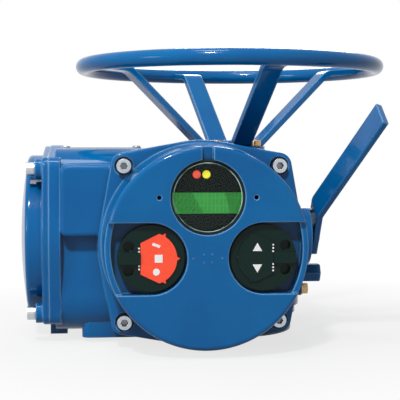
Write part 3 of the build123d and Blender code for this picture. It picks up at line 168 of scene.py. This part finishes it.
relief.inputs["Strength"].default_value = 0.22
relief.inputs["Distance"].default_value = 0.0006
edges = tree.nodes.new("ShaderNodeBevel")
edges.inputs["Radius"].default_value = 0.0025
edges.samples = 6
tree.links.new(place.outputs["Object"], tint.inputs["Vector"])
tree.links.new(place.outputs["Object"], cast.inputs["Vector"])
tree.links.new(tint.outputs["Fac"], tones.inputs["Fac"])
# Painted highlight: where the rounded edge normal leans off the true normal, the colour is mixed
# up to 60 % towards pale blue along the edge.
solid = tree.nodes.new("ShaderNodeNewGeometry")
turned = tree.nodes.new("ShaderNodeVectorMath")
turned.operation = "DOT_PRODUCT"
rim = tree.nodes.new("ShaderNodeMapRange")
rim.inputs["From Min"].default_value = 0.985
rim.inputs["From Max"].default_value = 0.86
rim.inputs["To Max"].default_value = 0.6
polish_and_painted_highlight = tree.nodes.new("ShaderNodeMix")
polish_and_painted_highlight.data_type = "RGBA"
polish_and_painted_highlight.inputs[7].default_value = (0.20, 0.46, 0.78, 1)
# Painted shade: ambient occlusion darkens the colour in corners and recesses, down to 0.3 of it.
deep = tree.nodes.new("ShaderNodeAmbientOcclusion")
deep.inputs["Distance"].default_value = 0.03
deep.samples = 8
shade = tree.nodes.new("ShaderNodeMapRange")
shade.inputs["From Min"].default_value = 0.1
shade.inputs["From Max"].default_value = 0.7
shade.inputs["To Min"].default_value = 0.3
painted_corner_shade = tree.nodes.new("ShaderNodeMix")
painted_corner_shade.data_type = "RGBA"
painted_corner_shade.blend_type = "MULTIPLY"
painted_corner_shade.inputs[0].default_value = 1
tree.links.new(solid.outputs["Normal"], turned.inputs[0])
tree.links.new(edges.outputs["Normal"], turned.inputs[1])
tree.links.new(turned.outputs["Value"], rim.inputs["Value"])
tree.links.new(rim.outputs["Result"], polish_and_painted_highlight.inputs[0])
tree.links.new(tones.outputs["Color"], polish_and_painted_highlight.inputs[6])
tree.links.new(deep.outputs["AO"], shade.inputs["Value"])
tree.links.new(polish_and_painted_highlight.outputs[2], painted_corner_shade.inputs[6])
tree.links.new(shade.outputs["Result"], painted_corner_shade.inputs[7])
tree.links.new(painted_corner_shade.outputs[2], skin.inputs["Base Color"])
tree.links.new(cast.outputs["Fac"], relief.inputs["Height"])
tree.links.new(edges.outputs["Normal"], relief.inputs["Normal"])
tree.links.new(relief.outputs["Normal"], skin.inputs["Normal"])
for name in (
    "gear_housing", "thrust_base", "motor_cover", "case_lid", "control_cover", "terminal_cover",
    "declutch_lever", "oil_plug", "handwheel_hub", "handwheel_rim", "handwheel_spokes", "stem_cap",
):
    nodes[name].material_slots[0].material = enamel

# ---------------------------------------------------------------- fasteners
# Zinc-plated socket cap screws hold every cover. The plating is finely mottled, and
# painted shade darkens its colour in the sockets.
zinc = bpy.data.materials.new("bright_zinc")
zinc.use_nodes = True
tree = zinc.node_tree
skin = tree.nodes["Principled BSDF"]
skin.inputs["Metallic"].default_value = 1
place = tree.nodes.new("ShaderNodeTexCoord")
grain = tree.nodes.new("ShaderNodeTexNoise")
grain.inputs["Scale"].default_value = 900
grain.inputs["Detail"].default_value = 3
tones = tree.nodes.new("ShaderNodeValToRGB")
tones.color_ramp.elements[0].color = (0.30, 0.33, 0.36, 1)
tones.color_ramp.elements[1].color = (0.72, 0.76, 0.80, 1)
polish_and_painted_highlight = tree.nodes.new("ShaderNodeMapRange")
polish_and_painted_highlight.inputs["To Min"].default_value = 0.22
polish_and_painted_highlight.inputs["To Max"].default_value = 0.42
edges = tree.nodes.new("ShaderNodeBevel")
edges.inputs["Radius"].default_value = 0.0006
edges.samples = 6
tree.links.new(place.outputs["Object"], grain.inputs["Vector"])
tree.links.new(grain.outputs["Fac"], tones.inputs["Fac"])
tree.links.new(grain.outputs["Fac"], polish_and_painted_highlight.inputs["Value"])
# Painted shade: ambient occlusion darkens the plating's colour in the sockets and recesses, down
# to 0.12 of it.
deep = tree.nodes.new("ShaderNodeAmbientOcclusion")
deep.inputs["Distance"].default_value = 0.005
deep.samples = 8
shade = tree.nodes.new("ShaderNodeMapRange")
shade.inputs["From Min"].default_value = 0.25
shade.inputs["From Max"].default_value = 0.8
shade.inputs["To Min"].default_value = 0.12
mixed = tree.nodes.new("ShaderNodeMix")
mixed.data_type = "RGBA"
mixed.blend_type = "MULTIPLY"
mixed.inputs[0].default_value = 1
tree.links.new(deep.outputs["AO"], shade.inputs["Value"])
tree.links.new(tones.outputs["Color"], mixed.inputs[6])
tree.links.new(shade.outputs["Result"], mixed.inputs[7])
tree.links.new(mixed.outputs[2], skin.inputs["Base Color"])
tree.links.new(polish_and_painted_highlight.outputs["Result"], skin.inputs["Roughness"])
tree.links.new(edges.outputs["Normal"], skin.inputs["Normal"])
for name in (
    "thrust_base_screws", "motor_cover_screws", "case_lid_screws", "control_cover_screws",
    "terminal_cover_screws", "terminal_screws", "rating_plate_screws", "lever_screw",
    "lever_stop_pin", "conduit_plug",
):
    nodes[name].material_slots[0].material = zinc

# The hub screws and the earth screw have the same plating, passivated yellow, with the same
# painted shade in the sockets.
passivated = zinc.copy()
passivated.name = "yellow_zinc"
tint = next(n for n in passivated.node_tree.nodes if n.type == "VALTORGB").color_ramp
tint.elements[0].color = (0.30, 0.17, 0.07, 1)
tint.elements[1].color = (0.72, 0.50, 0.27, 1)
for name in ("hub_screws", "earth_screw"):
    nodes[name].material_slots[0].material = passivated

# ---------------------------------------------------------------- drive train
# Ground steel shafts and rings run in a bronze nut, bush and worm gear inside the case.
# Both metals vary a little in tone and polish from grain to grain.
steel = bpy.data.materials.new("turned_steel")
bronze = bpy.data.materials.new("cast_bronze")
for metal, dark, light, low, high in (
    (steel, (0.30, 0.31, 0.33, 1), (0.55, 0.56, 0.58, 1), 0.2, 0.4),
    (bronze, (0.42, 0.24, 0.09, 1), (0.72, 0.48, 0.20, 1), 0.25, 0.5),
):
    metal.use_nodes = True
    tree = metal.node_tree
    skin = tree.nodes["Principled BSDF"]
    skin.inputs["Metallic"].default_value = 1
    place = tree.nodes.new("ShaderNodeTexCoord")
    rings = tree.nodes.new("ShaderNodeTexNoise")
    rings.inputs["Scale"].default_value = 420
    rings.inputs["Detail"].default_value = 4
    tones = tree.nodes.new("ShaderNodeValToRGB")
    tones.color_ramp.elements[0].color = dark
    tones.color_ramp.elements[1].color = light
    polish_and_painted_highlight = tree.nodes.new("ShaderNodeMapRange")
    polish_and_painted_highlight.inputs["To Min"].default_value = low
    polish_and_painted_highlight.inputs["To Max"].default_value = high
    tree.links.new(place.outputs["Object"], rings.inputs["Vector"])
    tree.links.new(rings.outputs["Fac"], tones.inputs["Fac"])
    tree.links.new(rings.outputs["Fac"], polish_and_painted_highlight.inputs["Value"])
    tree.links.new(tones.outputs["Color"], skin.inputs["Base Color"])
    tree.links.new(polish_and_painted_highlight.outputs["Result"], skin.inputs["Roughness"])
for name in (
    "thrust_bearing", "worm_bearings", "drive_sleeve", "clutch_ring", "worm_shaft",
    "declutch_shaft", "declutch_yoke", "declutch_roller", "spring_retainer", "clutch_spring",
    "motor_stator", "motor_rotor", "mode_knob_shaft", "command_knob_shaft", "rating_plate",
):
    nodes[name].material_slots[0].material = steel
for name in ("worm_gear", "stem_nut", "hub_bush", "board_pillars", "motor_windings"):
    nodes[name].material_slots[0].material = bronze

# ---------------------------------------------------------------- seals and black mouldings
# Nitrile seals sit in the joints. The knobs and the window's inner ring are moulded in
# black plastic, and the encoder and terminal block in grey, all with a fine even grain.
black = bpy.data.materials.new("black_moulding")
rubber = bpy.data.materials.new("nitrile")
grey = bpy.data.materials.new("grey_moulding")
for plastic, dark, light, gloss, scale in (
    (black, (0.001, 0.010, 0.008, 1), (0.003, 0.020, 0.016, 1), 0.2, 1500),
    (rubber, (0.010, 0.010, 0.011, 1), (0.022, 0.022, 0.023, 1), 0.62, 700),
    (grey, (0.20, 0.21, 0.22, 1), (0.28, 0.29, 0.30, 1), 0.45, 1200),
):
    plastic.use_nodes = True
    tree = plastic.node_tree
    skin = tree.nodes["Principled BSDF"]
    skin.inputs["Roughness"].default_value = gloss
    skin.inputs["Specular IOR Level"].default_value = 0.15
    place = tree.nodes.new("ShaderNodeTexCoord")
    grain = tree.nodes.new("ShaderNodeTexNoise")
    grain.inputs["Scale"].default_value = scale
    tones = tree.nodes.new("ShaderNodeValToRGB")
    tones.color_ramp.elements[0].color = dark
    tones.color_ramp.elements[1].color = light
    relief = tree.nodes.new("ShaderNodeBump")
    relief.inputs["Strength"].default_value = 0.2
    relief.inputs["Distance"].default_value = 0.0002
    edges = tree.nodes.new("ShaderNodeBevel")
    edges.inputs["Radius"].default_value = 0.0006
    edges.samples = 6
    tree.links.new(place.outputs["Object"], grain.inputs["Vector"])
    tree.links.new(grain.outputs["Fac"], tones.inputs["Fac"])
    tree.links.new(grain.outputs["Fac"], relief.inputs["Height"])
    tree.links.new(edges.outputs["Normal"], relief.inputs["Normal"])
    tree.links.new(tones.outputs["Color"], skin.inputs["Base Color"])
    tree.links.new(relief.outputs["Normal"], skin.inputs["Normal"])
for name in ("mode_knob", "command_knob", "display_bezel", "command_knob_plate"):
    nodes[name].material_slots[0].material = black
for name in ("hub_seal", "window_gasket", "terminal_cover_seal"):
    nodes[name].material_slots[0].material = rubber
for name in ("encoder_body", "terminal_block", "encoder_gear"):
    nodes[name].material_slots[0].material = grey

# ---------------------------------------------------------------- window and display
# A flat glass lies over a backlit green screen and two lamps. The screen's empty
# character cells show as a faint grid.
glass = bpy.data.materials.new("window_glass")
glass.use_nodes = True
tree = glass.node_tree
tree.nodes.clear()
surface = tree.nodes.new("ShaderNodeOutputMaterial")
clear = tree.nodes.new("ShaderNodeBsdfTransparent")
clear.inputs["Color"].default_value = (0.90, 0.94, 0.93, 1)
gloss = tree.nodes.new("ShaderNodeBsdfGlossy")
gloss.inputs["Roughness"].default_value = 0.03
rim = tree.nodes.new("ShaderNodeFresnel")
rim.inputs["IOR"].default_value = 1.25
both = tree.nodes.new("ShaderNodeMixShader")
tree.links.new(rim.outputs[0], both.inputs[0])
tree.links.new(clear.outputs[0], both.inputs[1])
tree.links.new(gloss.outputs[0], both.inputs[2])
tree.links.new(both.outputs[0], surface.inputs["Surface"])
nodes["window_glass"].material_slots[0].material = glass

screen = bpy.data.materials.new("green_screen")
screen.use_nodes = True
tree = screen.node_tree
skin = tree.nodes["Principled BSDF"]
skin.inputs["Roughness"].default_value = 0.3
skin.inputs["Emission Strength"].default_value = 0.4
place = tree.nodes.new("ShaderNodeTexCoord")
lie = tree.nodes.new("ShaderNodeMapping")
lie.inputs["Rotation"].default_value = (radians(90), 0, 0)
cells = tree.nodes.new("ShaderNodeTexBrick")
cells.offset = 0
cells.inputs["Color1"].default_value = (0.040, 0.36, 0.055, 1)
cells.inputs["Color2"].default_value = (0.046, 0.38, 0.060, 1)
cells.inputs["Mortar"].default_value = (0.055, 0.45, 0.075, 1)
cells.inputs["Scale"].default_value = 1
cells.inputs["Mortar Size"].default_value = 0.0004
cells.inputs["Mortar Smooth"].default_value = 0.2
cells.inputs["Brick Width"].default_value = 0.0034
cells.inputs["Row Height"].default_value = 0.0066
tree.links.new(place.outputs["Object"], lie.inputs["Vector"])
tree.links.new(lie.outputs["Vector"], cells.inputs["Vector"])
tree.links.new(cells.outputs["Color"], skin.inputs["Base Color"])
tree.links.new(cells.outputs["Color"], skin.inputs["Emission Color"])
nodes["lcd_module"].material_slots[0].material = screen

for name, deep, bright in (
    ("lamp_red", (0.55, 0.02, 0.01, 1), (1.0, 0.10, 0.05, 1)),
    ("lamp_yellow", (0.80, 0.55, 0.01, 1), (1.0, 0.86, 0.03, 1)),
):
    lit = bpy.data.materials.new(name + "_lens")
    lit.use_nodes = True
    tree = lit.node_tree
    skin = tree.nodes["Principled BSDF"]
    skin.inputs["Roughness"].default_value = 0.15
    skin.inputs["Emission Strength"].default_value = 0.8
    edge = tree.nodes.new("ShaderNodeLayerWeight")
    edge.inputs["Blend"].default_value = 0.4
    tones = tree.nodes.new("ShaderNodeValToRGB")
    tones.color_ramp.elements[0].color = bright
    tones.color_ramp.elements[1].color = deep
    tree.links.new(edge.outputs["Facing"], tones.inputs["Fac"])
    tree.links.new(tones.outputs["Color"], skin.inputs["Base Color"])
    tree.links.new(tones.outputs["Color"], skin.inputs["Emission Color"])
    nodes[name].material_slots[0].material = lit

board = bpy.data.materials.new("solder_mask")
board.use_nodes = True
tree = board.node_tree
skin = tree.nodes["Principled BSDF"]
skin.inputs["Roughness"].default_value = 0.35
place = tree.nodes.new("ShaderNodeTexCoord")
tracks = tree.nodes.new("ShaderNodeTexVoronoi")
tracks.distance = "CHEBYCHEV"
tracks.inputs["Scale"].default_value = 240
tones = tree.nodes.new("ShaderNodeValToRGB")
tones.color_ramp.elements[0].color = (0.01, 0.10, 0.03, 1)
tones.color_ramp.elements[1].color = (0.02, 0.17, 0.06, 1)
tree.links.new(place.outputs["Object"], tracks.inputs["Vector"])
tree.links.new(tracks.outputs["Distance"], tones.inputs["Fac"])
tree.links.new(tones.outputs["Color"], skin.inputs["Base Color"])
nodes["circuit_boards"].material_slots[0].material = board

# ---------------------------------------------------------------- marking plates
# Printed plates lie on the knobs: orange red on the left one, made here, and on the
# right one black, which is the knobs' own moulding.
red = bpy.data.materials.new("red_print")
red.use_nodes = True
tree = red.node_tree
skin = tree.nodes["Principled BSDF"]
skin.inputs["Roughness"].default_value = 0.35
place = tree.nodes.new("ShaderNodeTexCoord")
grain = tree.nodes.new("ShaderNodeTexNoise")
grain.inputs["Scale"].default_value = 500
tones = tree.nodes.new("ShaderNodeValToRGB")
tones.color_ramp.elements[0].color = (0.86, 0.055, 0.018, 1)
tones.color_ramp.elements[1].color = (0.96, 0.085, 0.032, 1)
tree.links.new(place.outputs["Object"], grain.inputs["Vector"])
tree.links.new(grain.outputs["Fac"], tones.inputs["Fac"])
tree.links.new(tones.outputs["Color"], skin.inputs["Base Color"])
nodes["mode_knob_plate"].material_slots[0].material = red

# ---------------------------------------------------------------- window edge
# The edge of the glass is ground to a small bevel, which shows as a thin pale ring just
# inside its seat. It is a flattened round section, swept round the window.
low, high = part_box("window_glass")
ring_section_r = 0.0004
ring_inset = 0.001
window_middle = ((low[0] + high[0]) / 2, low[1] - 0.0001, (low[2] + high[2]) / 2)
bpy.ops.object.select_all(action="DESELECT")
bpy.ops.mesh.primitive_torus_add(
    major_segments=96, minor_segments=8,
    major_radius=(high[0] - low[0]) / 2 - ring_inset, minor_radius=ring_section_r,
    location=window_middle,
    rotation=(pi / 2, 0, 0),
)
window_edge = bpy.context.object
window_edge.name = "window_glass_edge"
bpy.ops.object.transform_apply(location=True, rotation=True, scale=True)
bpy.ops.object.mode_set(mode="EDIT")
bpy.ops.mesh.select_all(action="SELECT")
bpy.ops.transform.resize(value=(1, 0.6, 1), center_override=window_middle)
bpy.ops.object.mode_set(mode="OBJECT")
bpy.ops.object.shade_smooth()
ground = bpy.data.materials.new("ground_edge")
ground.use_nodes = True
tree = ground.node_tree
skin = tree.nodes["Principled BSDF"]
skin.inputs["Roughness"].default_value = 0.3
place = tree.nodes.new("ShaderNodeTexCoord")
grain = tree.nodes.new("ShaderNodeTexNoise")
grain.inputs["Scale"].default_value = 60
tones = tree.nodes.new("ShaderNodeValToRGB")
tones.color_ramp.elements[0].position = 0.4
tones.color_ramp.elements[0].color = (0.02, 0.07, 0.06, 1)
tones.color_ramp.elements[1].position = 0.65
tones.color_ramp.elements[1].color = (0.35, 0.55, 0.50, 1)
tree.links.new(place.outputs["Object"], grain.inputs["Vector"])
tree.links.new(grain.outputs["Fac"], tones.inputs["Fac"])
tree.links.new(tones.outputs["Color"], skin.inputs["Base Color"])
window_edge.data.materials.append(ground)
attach(window_edge, "housing")

# ---------------------------------------------------------------- printed marks
# White symbols are printed on the plates: a bar, a stop square and a disc on the red
# one, and an up and a down arrow on the black one, with small ticks beside each plate.
# Each symbol is given by its place across and up from the knob's middle, number of
# corners, radius, turn in degrees, and how far it is flattened.
print_thickness = 0.00024
print_sunk = 0.0001
print_edge = 0.00008
ink = bpy.data.materials.new("white_ink")
ink.use_nodes = True
tree = ink.node_tree
skin = tree.nodes["Principled BSDF"]
skin.inputs["Roughness"].default_value = 0.5
place = tree.nodes.new("ShaderNodeTexCoord")
grain = tree.nodes.new("ShaderNodeTexNoise")
grain.inputs["Scale"].default_value = 2200
tones = tree.nodes.new("ShaderNodeValToRGB")
tones.color_ramp.elements[0].color = (0.62, 0.62, 0.60, 1)
tones.color_ramp.elements[1].color = (0.90, 0.90, 0.88, 1)
tree.links.new(place.outputs["Object"], grain.inputs["Vector"])
tree.links.new(grain.outputs["Fac"], tones.inputs["Fac"])
tree.links.new(tones.outputs["Color"], skin.inputs["Base Color"])
for plate, body, marks in (
    ("mode_knob_plate", "mode_selector", (
        (0.0065, 0.0, 4, 0.0048, 45, 1.0), (0.0045, 0.0115, 4, 0.0050, 66, 0.34),
        (0.0045, -0.0115, 24, 0.0030, 0, 1.0),
        (-0.0103, 0.0090, 4, 0.0010, 0, 1.0), (-0.0103, 0.0062, 4, 0.0010, 0, 1.0),
        (-0.0103, -0.0062, 4, 0.0010, 0, 1.0), (-0.0103, -0.0090, 4, 0.0010, 0, 1.0),
    )),
    ("command_knob_plate", "command_selector", (
        (-0.0055, 0.0082, 3, 0.0048, 0, 1.0), (-0.0055, -0.0082, 3, 0.0048, 180, 1.0),
        (0.0083, 0.0112, 4, 0.0010, 0, 1.0), (0.0083, 0.0084, 4, 0.0010, 0, 1.0),
        (0.0083, 0.0056, 4, 0.0010, 0, 1.0), (0.0083, -0.0056, 4, 0.0010, 0, 1.0),
        (0.0083, -0.0084, 4, 0.0010, 0, 1.0), (0.0083, -0.0112, 4, 0.0010, 0, 1.0),
    )),
):
    low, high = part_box(plate)
    knob_joint = next(j for j in frame["record"]["behaviour"]["joints"] if j["child"] == body)
    axis_x, _, axis_z = knob_joint["pos_m"]
    bpy.ops.object.select_all(action="DESELECT")
    made = []
    for along, up, corners, radius, turn, flat in marks:
        bpy.ops.mesh.primitive_cylinder_add(
            vertices=corners, radius=radius, depth=print_thickness, location=(0, 0, 0)
        )
        mark = bpy.context.object
        bpy.ops.object.modifier_add(type="BEVEL")
        mark.modifiers["Bevel"].width = print_edge
        bpy.ops.object.modifier_apply(modifier="Bevel")
        squared = 45 if corners == 4 else 0
        mark.rotation_euler = (0, 0, radians(squared))
        bpy.ops.object.transform_apply(location=False, rotation=True, scale=False)
        mark.scale = (1, flat, 1)
        mark.rotation_euler = (pi / 2, radians(turn - squared), 0)
        mark.location = (axis_x + along, low[1] - print_sunk, axis_z + up)
        bpy.ops.object.transform_apply(location=True, rotation=True, scale=True)
        mark.data.materials.append(ink)
        made.append(mark)
    for mark in made:
        mark.select_set(True)
    bpy.context.view_layer.objects.active = made[0]
    bpy.ops.object.join()
    printed = bpy.context.object
    printed.name = plate + "_print"
    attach(printed, body)

# ---------------------------------------------------------------- cast marks
# Between the knobs the cover carries a small cast sign: two arrowheads and four
# tapered pips round a bare middle, standing 0.2 mm proud under the enamel.
bpy.ops.object.select_all(action="DESELECT")
low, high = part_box("control_cover")
sign_x = (low[0] + high[0]) / 2
knob_low, knob_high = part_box("mode_knob")
sign_z = knob_low[2] / 2 + knob_high[2] / 2
sign_depth = 0.0005
sign_sunk = 0.00005
made = []
for along, up, corners, radius, turn in (
    (-0.0125, 0, 3, 0.0022, -90), (0.0125, 0, 3, 0.0022, 90),
    (-0.0035, 0.0035, 4, 0.0015, 0), (0.0035, 0.0035, 4, 0.0015, 0),
    (-0.0035, -0.0035, 4, 0.0015, 0), (0.0035, -0.0035, 4, 0.0015, 0),
):
    bpy.ops.mesh.primitive_cone_add(
        vertices=corners, radius1=radius, radius2=radius * 0.6, depth=sign_depth,
        location=(0, 0, 0),
    )
    mark = bpy.context.object
    mark.rotation_euler = (pi / 2, radians(turn), 0)
    mark.location = (sign_x + along, low[1] + sign_sunk, sign_z + up)
    bpy.ops.object.transform_apply(location=True, rotation=True, scale=True)
    mark.data.materials.append(enamel)
    made.append(mark)
for mark in made:
    mark.select_set(True)
bpy.context.view_layer.objects.active = made[0]
bpy.ops.object.join()
sign = bpy.context.object
sign.name = "control_cover_sign"
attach(sign, "housing")
